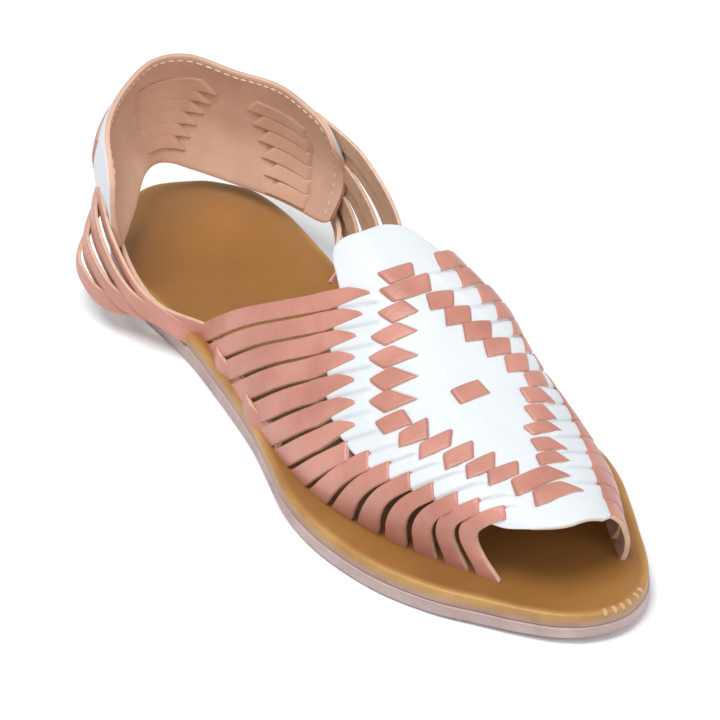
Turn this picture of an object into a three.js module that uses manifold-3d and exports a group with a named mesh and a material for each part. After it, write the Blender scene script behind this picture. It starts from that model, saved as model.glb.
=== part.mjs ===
// Flat woven huarache sandal, right shoe. Millimetres, +Z up, toe towards -Y, lateral side at -X.
// The shoe stands on z = 0 and its box is centred on the origin in x and y.
import * as THREE from "three";
import Module from "manifold-3d";

const wasm = await Module();
wasm.setup();

// Sole and footbed
const SHOE_LENGTH = 250;
const OUTSOLE_THICKNESS = 4.3;
const FOOTBED_TOP = 9.0; // height of the top of the insole under the forefoot
const HEEL_RISE = 2.5; // how much higher the footbed is at the very back
const HEEL_RISE_REACH = 0.55; // share of the length over which it rises
const TOE_SPRING = 2.0; // lift of the underside at the toe tip
const TOE_SPRING_START = -72; // y where the lift begins
const ARCH_LIFT = 1.5; // lift of the underside at the waist, on the medial side
const ARCH_CENTRE = 22;
const ARCH_HALF_LENGTH = 48;
const GAP = 0.3; // between two pieces that meet
const EDGE_ROUND = 1.0; // rounding of the sole edges
const OUTLINE_STEPS = 48; // a side, from the heel to the toe

// Upper
const WALL = 2.4; // thickness of the woven wall
const THONG_THICKNESS = 1.8;
const THONG_WIDTH = 7;
const THONG_SHARE = 0.41; // half width of a vamp thong as a share of the pitch, where they crowd
const THONG_INSET = 0.3; // how far a vamp thong lies below the face of the woven wall
const VAMP_THONGS = 16; // counted from the throat, 0, to the toe, 15
const THONG_OVERLAP = 4; // length of each thong that lies inside the woven field
const SMALL_STEP = 0.1; // detail below this size is left out of the joined upper
const SLOT_DEPTH = 2; // how far a thong is drawn on towards its slot before it is trimmed

// Heel counter
const COUNTER_THICKNESS = 2.4;
const COUNTER_BULGE = 4.5; // how far the band bellies out at mid height
const COUNTER_CORNER = 9; // radius of the front corners

// Outline of the sole: y, then x of the lateral and of the medial edge
const OUTLINE = [
  [120, -9.0, 18.4],
  [115, -14.6, 24.4],
  [105, -21.5, 31.2],
  [90, -25.9, 33.4],
  [75, -27.0, 32.7],
  [60, -26.9, 31.2],
  [45, -27.7, 28.9],
  [30, -29.6, 26.7],
  [15, -31.8, 25.9],
  [0, -34.6, 26.9],
  [-15, -38.8, 29.8],
  [-30, -42.9, 34.4],
  [-45, -44.3, 40.5],
  [-60, -42.9, 44.3],
  [-75, -39.1, 42.0],
  [-90, -32.0, 35.8],
  [-100, -25.0, 30.9],
  [-110, -17.8, 26.0],
  [-118, -10.8, 20.4],
  [-123, -3.2, 13.5],
];
const HEEL_TIP_X = 4.4;
const TOE_TIP_X = 5.7;

// Sections across the foot, one for a vamp thong's centre line. Each side is a curve from the crest
// to a base on the footbed: it leaves the crest level over "reach", and comes down to the base from a
// point that lies "swell" further out, "rise" higher and "back" further along y.
const SECTION_COLUMNS = [
  "row", "crestX", "crestY", "crestZ",
  "latX", "latY", "latReach", "latSwell", "latRise", "latBack",
  "medX", "medY", "medReach", "medSwell", "medRise", "medBack",
];
const SECTIONS = [
  [0, 7, -12, 56, -21, 58, 18, 2, 22, -23, 24.5, 33, 40, 8, 25, -25],
  [3, 7, -33, 50, -27.5, 28, 19, 2, 20, -22, 26, 4, 40, 9, 24, -27],
  [6, 3.5, -51, 44, -34, -6, 23, 2, 15, -17, 30.5, -19, 34, 7, 23, -23],
  [9, 0.5, -69, 39, -36.5, -38, 25, 2, 14, -11, 35, -45, 27, 5, 17, -20],
  [12, 0, -87, 36, -29.5, -67, 21, 3, 16, -4, 31.5, -77, 19, 5, 14, -13],
  [15, 0.5, -106, 33, -17, -94, 13, 4, 20, 6, 20.5, -105, 12, 4, 13, -3],
];

// Half width of the woven field each side of the crest, measured along the surface
const FIELD_COLUMNS = ["row", "lateral", "medial"];
const FIELD = [
  [-2.3, 4, 4],
  [-2.15, 8, 8],
  [-1.8, 12, 12.5],
  [-1.2, 15, 15.5],
  [-0.3, 17.5, 18],
  [0.6, 20.5, 20],
  [1.5, 26, 23],
  [2.5, 31.5, 27],
  [4, 38, 32],
  [5, 41, 35],
  [6.2, 42, 37],
  [7.2, 41, 37.5],
  [9, 37, 34.5],
  [11, 30.5, 28.5],
  [13, 25, 23.5],
  [14.8, 20.5, 19],
  [15.3, 18, 16.5],
  [15.7, 13, 12],
];

// Plan of the heel counter's top edge from the lateral front round the heel to the medial front, with
// the heights of its lower and upper edges and how far the lower edge tucks in
const COUNTER_COLUMNS = ["station", "x", "y", "low", "high", "tuck"];
const COUNTER = [
  [-4, -35, 77, 26, 56, 1],
  [-3, -30, 88, 25.5, 60, 4],
  [-2, -22, 99, 27, 61, 5.5],
  [-1, -10, 110, 29.5, 61, 4],
  [0, 3, 117, 25.5, 61.5, 2],
  [1, 15, 116, 19.5, 60, 1.5],
  [2, 25, 105, 16, 56.5, 1],
  [3, 31, 86, 17.5, 58, 1],
  [4, 33, 61, 20.5, 55, 1],
];

// Side thongs. Each runs from a slit in the counter over its front margin, bellies out and comes down
// to a slot in the footbed. The top and the lowest thong of a side are given, the rest lie between.
const SIDE_THONGS = 6;
const SIDE_COLUMNS = ["x", "y", "z"];
const LATERAL_TOP = [
  [-34.4, 87, 45],
  [-36.7, 77, 33],
  [-35.5, 64, 20],
  [-30, 54, 12.5],
  [-25, 49, 8.5],
];
const LATERAL_LOWEST = [
  [-36.5, 96, 17],
  [-39.5, 86, 13],
  [-38, 76, 11],
  [-31.5, 66, 11.5],
  [-25, 58, 8.5],
];
const MEDIAL_TOP = [
  [36.5, 72, 50],
  [38.5, 52, 46],
  [38, 33, 33],
  [31, 24, 14],
  [25, 21, 8.5],
];
const MEDIAL_LOWEST = [
  [37, 72, 27],
  [37, 63, 21],
  [35, 57, 15],
  [30.5, 51, 12],
  [25, 48, 8.5],
];

// The last thong of a side comes from inside the counter's lower front corner, where its points are
// x, y, z, and is then laced along the footbed's edge, past the rear vamp thongs
const EDGE_THONG_WIDTH = 5;
const EDGE_THONG_LAST_ROW = 6.4;
const EDGE_THONG_HEIGHT = 3.2; // of its middle above the footbed
const LATERAL_EDGE_START = [
  [-29.5, 90, 31],
  [-31.5, 77, 22.5],
  [-31.5, 66, 17.5],
  [-30, 57, 14.5],
];
const MEDIAL_EDGE_START = [
  [35.5, 72, 27],
  [34.5, 64, 20],
  [32, 55, 14.5],
];

const columnOf = (columns, name) => columns.indexOf(name);

// Reads a table at any station on a smooth curve through its rows
function read(table, columns, name, station) {
  const c = columnOf(columns, name);
  let i = 0;
  while (i < table.length - 2 && station > table[i + 1][0]) i += 1;
  const slope = (k) => {
    const a = table[Math.max(k - 1, 0)];
    const b = table[Math.min(k + 1, table.length - 1)];
    return (b[c] - a[c]) / (b[0] - a[0]);
  };
  const here = table[i];
  const next = table[i + 1];
  const span = next[0] - here[0];
  if (station < here[0]) return here[c] + slope(i) * (station - here[0]);
  if (station > next[0]) return next[c] + slope(i + 1) * (station - next[0]);
  const t = (station - here[0]) / span;
  const a = (2 * t ** 3 - 3 * t ** 2 + 1) * here[c];
  const b = (t ** 3 - 2 * t ** 2 + t) * span * slope(i);
  const d = (3 * t ** 2 - 2 * t ** 3) * next[c];
  const e = (t ** 3 - t ** 2) * span * slope(i + 1);
  return a + b + d + e;
}

// A closed solid from corner points and triangles, turned so that its faces look out
function solidFrom(points, triangles) {
  const vertProperties = new Float32Array(points.flatMap((p) => [p.x, p.y, p.z]));
  const make = (list) => {
    const triVerts = new Uint32Array(list.flat());
    return new wasm.Manifold(new wasm.Mesh({ numProp: 3, vertProperties, triVerts }));
  };
  const made = make(triangles);
  if (made.volume() > 0) return made;
  return make(triangles.map(([a, b, c]) => [a, c, b]));
}

function quad(list, a, b, c, d) {
  if (a !== b && b !== c && a !== c) list.push([a, b, c]);
  if (a !== c && c !== d && a !== d) list.push([a, c, d]);
}

// A solid through a stack of rings with the same number of points. Each end is closed by a ladder of
// faces between the two halves of its ring.
function loft(rings) {
  const n = rings[0].length;
  const triangles = [];
  for (let r = 0; r < rings.length - 1; r += 1) {
    for (let i = 0; i < n; i += 1) {
      const j = (i + 1) % n;
      quad(triangles, r * n + i, r * n + j, (r + 1) * n + j, (r + 1) * n + i);
    }
  }
  const last = (rings.length - 1) * n;
  for (let i = 0; i < n / 2; i += 1) {
    const j = (n - i) % n;
    quad(triangles, i, j, n - i - 1, i + 1);
    quad(triangles, last + i, last + i + 1, last + n - i - 1, last + j);
  }
  return solidFrom(rings.flat(), triangles);
}

// A solid between two grids of points, closed along its four borders
function slab(outer, inner) {
  const rows = outer.length;
  const columns = outer[0].length;
  const at = (side, i, j) => (side * rows + i) * columns + j;
  const triangles = [];
  for (let i = 0; i < rows - 1; i += 1) {
    for (let j = 0; j < columns - 1; j += 1) {
      quad(triangles, at(0, i, j), at(0, i, j + 1), at(0, i + 1, j + 1), at(0, i + 1, j));
      quad(triangles, at(1, i, j), at(1, i + 1, j), at(1, i + 1, j + 1), at(1, i, j + 1));
    }
  }
  for (let i = 0; i < rows - 1; i += 1) {
    const end = columns - 1;
    quad(triangles, at(0, i, 0), at(0, i + 1, 0), at(1, i + 1, 0), at(1, i, 0));
    quad(triangles, at(0, i, end), at(1, i, end), at(1, i + 1, end), at(0, i + 1, end));
  }
  for (let j = 0; j < columns - 1; j += 1) {
    const end = rows - 1;
    quad(triangles, at(0, 0, j), at(1, 0, j), at(1, 0, j + 1), at(0, 0, j + 1));
    quad(triangles, at(0, end, j), at(0, end, j + 1), at(1, end, j + 1), at(1, end, j));
  }
  return solidFrom([...outer.flat(), ...inner.flat()], triangles);
}

function vector(x, y, z) {
  return new THREE.Vector3(x, y, z);
}

// ---- Sole
// The outline as an even run of points from the heel along the lateral side to the toe and back
const half = SHOE_LENGTH / 2;
const lateralEdge = OUTLINE.map(([y, x]) => vector(x, y, 0));
const medialEdge = OUTLINE.map(([y, , x]) => vector(x, y, 0)).reverse();
const around = [vector(HEEL_TIP_X, half, 0), ...lateralEdge, vector(TOE_TIP_X, -half, 0), ...medialEdge];
const outlineCurve = new THREE.CatmullRomCurve3(around, true, "centripetal");
const toeParameter = (lateralEdge.length + 1) / around.length;

function outlinePoint(index) {
  // index runs over 2 x OUTLINE_STEPS points, with the toe tip at OUTLINE_STEPS
  const share = (index % (2 * OUTLINE_STEPS)) / OUTLINE_STEPS;
  const parameter = share <= 1 ? share * toeParameter : toeParameter + (share - 1) * (1 - toeParameter);
  return outlineCurve.getPoint(parameter % 1);
}

function outlineInset(inset) {
  const ring = [];
  for (let i = 0; i < 2 * OUTLINE_STEPS; i += 1) {
    const before = outlinePoint(i + 2 * OUTLINE_STEPS - 1);
    const after = outlinePoint(i + 1);
    const along = after.sub(before).normalize();
    const inward = vector(-along.y, along.x, 0);
    ring.push(outlinePoint(i).addScaledVector(inward, inset));
  }
  return ring;
}

function heelRise(y) {
  const fromHeel = (half - y) / SHOE_LENGTH;
  return HEEL_RISE * Math.min(Math.max(1 - fromHeel / HEEL_RISE_REACH, 0), 1);
}

function toeLift(y) {
  const t = Math.min(Math.max((TOE_SPRING_START - y) / (half + TOE_SPRING_START), 0), 1);
  return TOE_SPRING * t * t;
}

function archLift(x, y) {
  const along = Math.max(1 - ((y - ARCH_CENTRE) / ARCH_HALF_LENGTH) ** 2, 0);
  const across = Math.min(Math.max((x + 12) / 40, 0), 1);
  return ARCH_LIFT * along * along * across;
}

const undersideAt = (x, y) => toeLift(y) + archLift(x, y);
const footbedAt = (y) => FOOTBED_TOP + heelRise(y) + 0.4 * toeLift(y);
const outsoleTopAt = (y) => OUTSOLE_THICKNESS + heelRise(y) + 0.6 * toeLift(y);

function soleRing(inset, heightAt) {
  return outlineInset(inset).map((p) => vector(p.x, p.y, heightAt(p.x, p.y)));
}

const outsole = loft([
  soleRing(EDGE_ROUND, (x, y) => undersideAt(x, y)),
  soleRing(0, (x, y) => undersideAt(x, y) + 0.6 * EDGE_ROUND),
  soleRing(0, (x, y) => outsoleTopAt(y)),
]);
const insole = loft([
  soleRing(0.4, (x, y) => outsoleTopAt(y) + GAP),
  soleRing(0.4, (x, y) => footbedAt(y) - EDGE_ROUND),
  soleRing(0.4 + 0.4 * EDGE_ROUND, (x, y) => footbedAt(y) - 0.3 * EDGE_ROUND),
  soleRing(0.4 + 1.4 * EDGE_ROUND, (x, y) => footbedAt(y)),
]);
// The space that the upper keeps clear of: the sole grown by the gap
const soleClearance = loft([
  soleRing(-GAP, () => -10),
  soleRing(-GAP, (x, y) => footbedAt(y) + GAP - EDGE_ROUND),
  soleRing(EDGE_ROUND, (x, y) => footbedAt(y) + GAP),
]);

// ---- Upper
const CURVE_STEPS = 48;
const LATERAL = -1;
const MEDIAL = 1;

function section(row) {
  const value = (name) => read(SECTIONS, SECTION_COLUMNS, name, row);
  const crest = vector(value("crestX"), value("crestY"), value("crestZ"));
  const side = (sign, prefix) => {
    const base = vector(value(prefix + "X"), value(prefix + "Y"), FOOTBED_TOP);
    const shoulder = crest.clone().add(vector(sign * value(prefix + "Reach"), 0, 0));
    const offset = vector(sign * value(prefix + "Swell"), value(prefix + "Back"), value(prefix + "Rise"));
    const flank = base.clone().add(offset);
    const curve = new THREE.CubicBezierCurve3(crest, shoulder, flank, base);
    curve.arcLengthDivisions = CURVE_STEPS;
    return curve;
  };
  return { lateral: side(LATERAL, "lat"), medial: side(MEDIAL, "med") };
}

const sectionCache = new Map();
function sectionAt(row) {
  const key = row.toFixed(4);
  if (!sectionCache.has(key)) sectionCache.set(key, section(row));
  return sectionCache.get(key);
}

// A point of the upper's outer face: row from throat to toe, across in mm from the crest along the
// surface, negative on the lateral side. Past the base it runs straight on.
function surface(row, across) {
  const curve = across < 0 ? sectionAt(row).lateral : sectionAt(row).medial;
  const length = curve.getLength();
  const distance = Math.abs(across);
  if (distance <= length) return curve.getPointAt(distance / length);
  return curve.getPointAt(1).addScaledVector(curve.getTangentAt(1), distance - length);
}

function surfaceFrame(row, across) {
  const point = surface(row, across);
  const alongRow = surface(row + 0.05, across).sub(surface(row - 0.05, across));
  const acrossStep = surface(row, across + 0.5).sub(surface(row, across - 0.5)).normalize();
  const normal = alongRow.clone().cross(acrossStep).normalize();
  const width = acrossStep.clone().cross(normal).normalize();
  const pitch = Math.abs(alongRow.dot(width)) / 0.1;
  return { point, normal, width, pitch };
}

const fieldRows = [-2.3, -2.2, -2.05, -1.8, -1.5, -1.1, -0.6, 0, 0.6];
for (let row = 1.3; row < 15; row += 0.8) fieldRows.push(row);
fieldRows.push(15.2, 15.5, 15.7);
const FIELD_COLUMN_COUNT = 22;

function wovenField() {
  const outer = [];
  const inner = [];
  fieldRows.forEach((row) => {
    const lateral = read(FIELD, FIELD_COLUMNS, "lateral", row);
    const medial = read(FIELD, FIELD_COLUMNS, "medial", row);
    const frames = [];
    for (let j = 0; j <= FIELD_COLUMN_COUNT; j += 1) {
      const across = -lateral + ((lateral + medial) * j) / FIELD_COLUMN_COUNT;
      frames.push(surfaceFrame(row, across));
    }
    outer.push(frames.map((f) => f.point));
    inner.push(frames.map((f) => f.point.clone().addScaledVector(f.normal, -WALL)));
  });
  return slab(outer, inner);
}

// A flat thong through frames that hold its outer face's middle, its normal and its width direction
function thong(frames, thickness, depth) {
  return loft(
    frames.map(({ point, normal, width, halfWidth }) => {
      const top = point.clone().addScaledVector(normal, -depth);
      const bottom = point.clone().addScaledVector(normal, -depth - thickness);
      return [
        top.clone().addScaledVector(width, -halfWidth),
        top.clone().addScaledVector(width, halfWidth),
        bottom.clone().addScaledVector(width, halfWidth),
        bottom.clone().addScaledVector(width, -halfWidth),
      ];
    }),
  );
}

const LEG_STEPS = 8;
function leg(row, sign) {
  const margin = read(FIELD, FIELD_COLUMNS, sign === LATERAL ? "lateral" : "medial", row);
  const curve = sign === LATERAL ? sectionAt(row).lateral : sectionAt(row).medial;
  const start = margin - THONG_OVERLAP;
  const end = curve.getLength() + SLOT_DEPTH;
  const frames = [];
  for (let i = 0; i <= LEG_STEPS; i += 1) {
    const frame = surfaceFrame(row, sign * (start + ((end - start) * i) / LEG_STEPS));
    frames.push({ ...frame, halfWidth: Math.min(THONG_WIDTH / 2, THONG_SHARE * frame.pitch) });
  }
  return thong(frames, THONG_THICKNESS, THONG_INSET);
}

// Frames along a free path; the normal turns from the first to the last direction
function pathFrames(points, firstNormal, lastNormal, steps, halfWidth) {
  const curve = new THREE.CatmullRomCurve3(points, false, "centripetal");
  const frames = [];
  for (let i = 0; i <= steps; i += 1) {
    const t = i / steps;
    const tangent = curve.getTangentAt(t);
    const normal = firstNormal.clone().lerp(lastNormal, t * t);
    normal.addScaledVector(tangent, -normal.dot(tangent)).normalize();
    const width = normal.clone().cross(tangent).normalize();
    frames.push({ point: curve.getPointAt(t), normal, width, halfWidth });
  }
  return frames;
}

function sideThongs(top, lowest, sign) {
  const column = (name) => columnOf(SIDE_COLUMNS, name);
  const thongs = [];
  for (let k = 0; k < SIDE_THONGS; k += 1) {
    const share = k / (SIDE_THONGS - 1);
    const points = top.map((row, i) => {
      const mix = (name) => row[column(name)] * (1 - share) + lowest[i][column(name)] * share;
      return vector(mix("x"), mix("y"), mix("z"));
    });
    const first = vector(sign, 0.2, 0.1);
    const last = vector(sign * 0.7, 0, 0.75);
    const frames = pathFrames(points, first, last, 12, THONG_WIDTH / 2);
    thongs.push(thong(frames, THONG_THICKNESS, -THONG_THICKNESS / 2));
  }
  return thongs;
}

function edgeThong(start, sign) {
  const points = start.map(([x, y, z]) => vector(x, y, z));
  for (let row = sign === LATERAL ? 1 : 0; row <= EDGE_THONG_LAST_ROW; row += 0.9) {
    const curve = sign === LATERAL ? sectionAt(row).lateral : sectionAt(row).medial;
    points.push(surface(row, sign * (curve.getLength() - EDGE_THONG_HEIGHT)));
  }
  const frames = pathFrames(points, vector(sign, 0, 0.2), vector(sign, 0, 0.2), 18, EDGE_THONG_WIDTH / 2);
  return thong(frames, THONG_THICKNESS, 0);
}

// ---- Heel counter
function counterPoint(station, share, offset) {
  const value = (name, s) => read(COUNTER, COUNTER_COLUMNS, name, s);
  const before = vector(value("x", station - 0.05), value("y", station - 0.05), 0);
  const after = vector(value("x", station + 0.05), value("y", station + 0.05), 0);
  const along = after.clone().sub(before);
  const outward = vector(-along.y, along.x, 0).normalize();
  const fromEnd = ((4 - Math.abs(station)) * along.length()) / 0.1;
  const corner = Math.min(Math.max(COUNTER_CORNER - fromEnd, 0), COUNTER_CORNER);
  const cut = COUNTER_CORNER - Math.sqrt(COUNTER_CORNER ** 2 - corner ** 2);
  const low = value("low", station) + 0.4 * cut;
  const high = value("high", station) - 0.8 * cut;
  const forward = Math.min(Math.max((-station - 2.6) / 1.4, 0), 1); // flatter at the lateral front end
  const bulge = COUNTER_BULGE * (1 - 0.9 * forward ** 2 * (3 - 2 * forward));
  const belly = bulge * Math.sin(Math.PI * share) - value("tuck", station) * (1 - share) ** 2;
  const point = vector(value("x", station), value("y", station), low + (high - low) * share);
  return point.addScaledVector(outward, belly + offset);
}

const counterStations = [-4, -3.97, -3.9, -3.78, -3.6, -3.35, -3];
for (let s = -2.6; s < 2.7; s += 0.4) counterStations.push(s);
counterStations.push(3, 3.3, 3.55, 3.72, 3.84, 3.92, 3.97, 4);
const COUNTER_SHARES = 8;

function counterSolid(growth) {
  const grid = (offset) =>
    counterStations.map((station) => {
      const line = [];
      for (let j = 0; j <= COUNTER_SHARES; j += 1) {
        const point = counterPoint(station, j / COUNTER_SHARES, offset);
        if (j === 0) point.z -= growth;
        if (j === COUNTER_SHARES) point.z += growth;
        line.push(point);
      }
      return line;
    });
  return slab(grid(COUNTER_THICKNESS / 2 + growth), grid(-COUNTER_THICKNESS / 2 - growth));
}
const counter = counterSolid(0);
const counterClearance = counterSolid(GAP);

// ---- Join
let upper = wovenField();
for (let row = 0; row < VAMP_THONGS; row += 1) {
  if (row > 0) upper = upper.add(leg(row, LATERAL));
  upper = upper.add(leg(row, MEDIAL));
}
upper = upper.add(edgeThong(LATERAL_EDGE_START, LATERAL));
upper = upper.add(edgeThong(MEDIAL_EDGE_START, MEDIAL));
sideThongs(LATERAL_TOP, LATERAL_LOWEST, LATERAL).forEach((s) => (upper = upper.add(s)));
sideThongs(MEDIAL_TOP, MEDIAL_LOWEST, MEDIAL).forEach((s) => (upper = upper.add(s)));
upper = upper.subtract(soleClearance).subtract(counterClearance);
const pieces = upper.decompose().sort((a, b) => b.volume() - a.volume());
upper = pieces[0].simplify(SMALL_STEP);

function meshOf(name, solid, colour, roughness) {
  const data = solid.getMesh();
  const geometry = new THREE.BufferGeometry();
  const positions = new Float32Array(data.numVert * 3);
  for (let i = 0; i < data.numVert; i += 1) {
    positions.set(data.vertProperties.subarray(i * data.numProp, i * data.numProp + 3), i * 3);
  }
  geometry.setAttribute("position", new THREE.BufferAttribute(positions, 3));
  geometry.setIndex(new THREE.BufferAttribute(data.triVerts, 1));
  const material = new THREE.MeshStandardMaterial({ color: colour, roughness, metalness: 0 });
  const mesh = new THREE.Mesh(geometry, material);
  mesh.name = name;
  return mesh;
}

const group = new THREE.Group();
group.add(meshOf("outsole", outsole, 0xbda49f, 0.85));
group.add(meshOf("insole", insole, 0xa8743a, 0.5));
group.add(meshOf("upper", upper, 0xd99a86, 0.55));
group.add(meshOf("heel_counter", counter, 0xf2f3f5, 0.5));
export default group;
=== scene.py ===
# %% [markdown]
# # A woven huarache sandal
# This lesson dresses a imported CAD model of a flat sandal: a crepe sole, a leather footbed, a white
# leather plug woven with narrow thongs, and a white heel counter. The CAD pieces give the true
# size and place. Each is replaced here by a finer piece of the same form. Work is done in
# millimetres and turned into metres only when a mesh is made.

import math

import bpy
import numpy as np
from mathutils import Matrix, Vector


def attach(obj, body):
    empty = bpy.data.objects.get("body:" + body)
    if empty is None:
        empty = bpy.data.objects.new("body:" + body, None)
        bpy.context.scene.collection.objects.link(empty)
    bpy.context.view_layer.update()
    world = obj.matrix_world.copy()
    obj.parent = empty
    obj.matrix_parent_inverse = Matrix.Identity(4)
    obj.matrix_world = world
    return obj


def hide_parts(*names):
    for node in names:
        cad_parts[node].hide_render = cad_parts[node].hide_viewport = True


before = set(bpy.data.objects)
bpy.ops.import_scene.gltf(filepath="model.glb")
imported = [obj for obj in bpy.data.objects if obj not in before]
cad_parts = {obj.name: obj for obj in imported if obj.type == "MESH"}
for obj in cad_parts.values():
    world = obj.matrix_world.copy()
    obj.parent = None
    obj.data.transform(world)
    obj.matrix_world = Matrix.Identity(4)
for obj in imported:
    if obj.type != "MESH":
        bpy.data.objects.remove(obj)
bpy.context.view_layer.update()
MM = 0.001
print("nodes:", sorted(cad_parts))

# %% [markdown]
# ## Reading a small table on a smooth curve
# The maker's sizes are kept in short tables. A piece needs values between the rows as well, so a
# table is read on a smooth curve through its rows. Past its ends it goes straight on.


# %% Table reader
def read(table, columns, name, station):
    rows = np.array(table, float)
    at, value = rows[:, 0], rows[:, columns.index(name)]
    station = np.asarray(station, float)
    before = np.maximum(np.arange(len(at)) - 1, 0)
    after = np.minimum(np.arange(len(at)) + 1, len(at) - 1)
    slope = (value[after] - value[before]) / (at[after] - at[before])
    i = np.clip(np.searchsorted(at, station) - 1, 0, len(at) - 2)
    span = at[i + 1] - at[i]
    t = np.clip((station - at[i]) / span, 0, 1)
    curve = (2 * t**3 - 3 * t**2 + 1) * value[i] + (t**3 - 2 * t**2 + t) * span * slope[i]
    curve += (3 * t**2 - 2 * t**3) * value[i + 1] + (t**3 - t**2) * span * slope[i + 1]
    curve += slope[0] * np.minimum(station - at[0], 0) + slope[-1] * np.maximum(station - at[-1], 0)
    return curve


def ease(value):
    """0 below 0, 1 above 1, and a soft step between."""
    t = np.clip(value, 0, 1)
    return t * t * (3 - 2 * t)


# %% [markdown]
# ## Plates
# Almost every piece of a sandal is cut from a flat hide: it has a top face, a bottom face and a
# narrow cut edge. So one helper turns two grids of points into a closed plate, and one more joins
# many plates into a mesh. Every point carries a mark called side: 0 on the grain, 0.5 on the cut
# edge, 1 on the flesh side. A second mark says how much shade is painted into the leather's colour
# at a point: in creases, at slits and between thongs. Materials read both.


# %% Plate and mesh helpers
def plate(top, bottom, top_side=0.0, bottom_side=1.0, cut_columns=0):
    rows, columns = top.shape[:2]
    points = np.concatenate([top.reshape(-1, 3), bottom.reshape(-1, 3)])
    number = np.arange(2 * rows * columns).reshape(2, rows, columns)
    up, down = number[0], number[1]
    quads = [
        [up[:-1, :-1], up[:-1, 1:], up[1:, 1:], up[1:, :-1]],
        [down[:-1, :-1], down[1:, :-1], down[1:, 1:], down[:-1, 1:]],
        [up[:-1, 0], up[1:, 0], down[1:, 0], down[:-1, 0]],
        [up[:-1, -1], down[:-1, -1], down[1:, -1], up[1:, -1]],
        [up[0, :-1], down[0, :-1], down[0, 1:], up[0, 1:]],
        [up[-1, :-1], up[-1, 1:], down[-1, 1:], down[-1, :-1]],
    ]
    faces = np.concatenate([np.stack(quad, -1).reshape(-1, 4) for quad in quads])
    side = np.concatenate([np.full(rows * columns, top_side), np.full(rows * columns, bottom_side)])
    side = side.reshape(2, rows, columns)
    if cut_columns:
        side[:, :, :cut_columns] = 0.5
        side[:, :, -cut_columns:] = 0.5
    a, b, c, d = (points[faces[:, corner]] for corner in range(4))
    if (a * (np.cross(b, c) + np.cross(c, d))).sum() < 0:
        faces = faces[:, ::-1]
    return {"points": points, "faces": faces, "side": side.reshape(-1)}


CREASE_ANGLE = 50


def make_piece(name, plates, materials, stands_for=(), marks=None):
    start, points, faces, side, painted_shade = 0, [], [], [], []
    for part in plates:
        points.append(part["points"])
        # The painted shade mark of each plate, 0 where a plate has none
        painted_shade.append(part.get("painted_shade", np.zeros(len(part["points"]))))
        faces += [tuple(int(v) + start for v in face) for face in part["faces"]]
        side.append(part["side"])
        start += len(part["points"])
    mesh = bpy.data.meshes.new(name)
    mesh.from_pydata((np.concatenate(points) * MM).tolist(), [], faces)
    marks = {"side": np.concatenate(side), "painted_shade": np.concatenate(painted_shade), **(marks or {})}
    for mark, values in marks.items():
        layer = mesh.attributes.new(mark, "FLOAT", "POINT")
        layer.data.foreach_set("value", np.asarray(values, np.float32))
    mesh.polygons.foreach_set("use_smooth", [True] * len(mesh.polygons))
    mesh.set_sharp_from_angle(angle=math.radians(CREASE_ANGLE))
    for material in materials:
        mesh.materials.append(material)
    piece = bpy.data.objects.new(name, mesh)
    bpy.context.scene.collection.objects.link(piece)
    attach(piece, "root")
    if stands_for:
        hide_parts(*stands_for)
    print(name, len(faces), "faces")
    return piece


# %% [markdown]
# ## Leather and rubber finishes
# Leather is a dielectric with a soft gloss. Its grain is a fine cell pattern, and its colour clouds
# a little where the hide took more dye. One builder makes every leather here: a grain colour, a
# paler cut edge and a beige flesh side, mixed by the side mark, and a darker copy of the grain
# colour, painted in as shade where the second mark asks for it.


# %% Material builder
def link_chain(tree, *pairs):
    for source, target in pairs:
        tree.links.new(source, target)


def noise(tree, place, scale, detail, roughness=0.5):
    node = tree.nodes.new("ShaderNodeTexNoise")
    node.inputs["Scale"].default_value = scale
    node.inputs["Detail"].default_value = detail
    node.inputs["Roughness"].default_value = roughness
    tree.links.new(place, node.inputs["Vector"])
    return node.outputs["Fac"]


def ramp(tree, source, stops):
    node = tree.nodes.new("ShaderNodeValToRGB")
    while len(node.color_ramp.elements) < len(stops):
        node.color_ramp.elements.new(0.5)
    for element, (position, colour) in zip(node.color_ramp.elements, stops):
        element.position = position
        element.color = (*colour, 1)
    tree.links.new(source, node.inputs["Fac"])
    return node.outputs["Color"]


def blend_colours(tree, share, first, second):
    node = tree.nodes.new("ShaderNodeMix")
    node.data_type = "RGBA"
    tree.links.new(share, node.inputs["Factor"])
    tree.links.new(first, node.inputs["A"])
    tree.links.new(second, node.inputs["B"])
    return node.outputs["Result"]


def new_material(name):
    material = bpy.data.materials.new(name)
    material.use_nodes = True
    return material, material.node_tree, material.node_tree.nodes["Principled BSDF"]


def object_place(tree):
    return tree.nodes.new("ShaderNodeTexCoord").outputs["Object"]


def read_mark(tree, name):
    node = tree.nodes.new("ShaderNodeAttribute")
    node.attribute_name = name
    return node.outputs["Fac"]


def remap(tree, source, start, stop, low=0.0, high=1.0):
    node = tree.nodes.new("ShaderNodeMapRange")
    for name, value in (("From Min", start), ("From Max", stop), ("To Min", low), ("To Max", high)):
        node.inputs[name].default_value = value
    tree.links.new(source, node.inputs["Value"])
    return node.outputs["Result"]


def bump(tree, height, strength, depth, under=None):
    node = tree.nodes.new("ShaderNodeBump")
    node.inputs["Strength"].default_value = strength
    node.inputs["Distance"].default_value = depth
    tree.links.new(height, node.inputs["Height"])
    if under is not None:
        tree.links.new(under, node.inputs["Normal"])
    return node.outputs["Normal"]


def shade(colour, share):
    return tuple(share * part for part in colour)


CLOUDS_PER_METRE = 45
FIBRES_PER_METRE = 500
GRAIN_CELLS_PER_METRE = 900
GRAIN_DEPTH = 0.12 * MM
CREASE_DEPTH = 0.6 * MM


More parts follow.
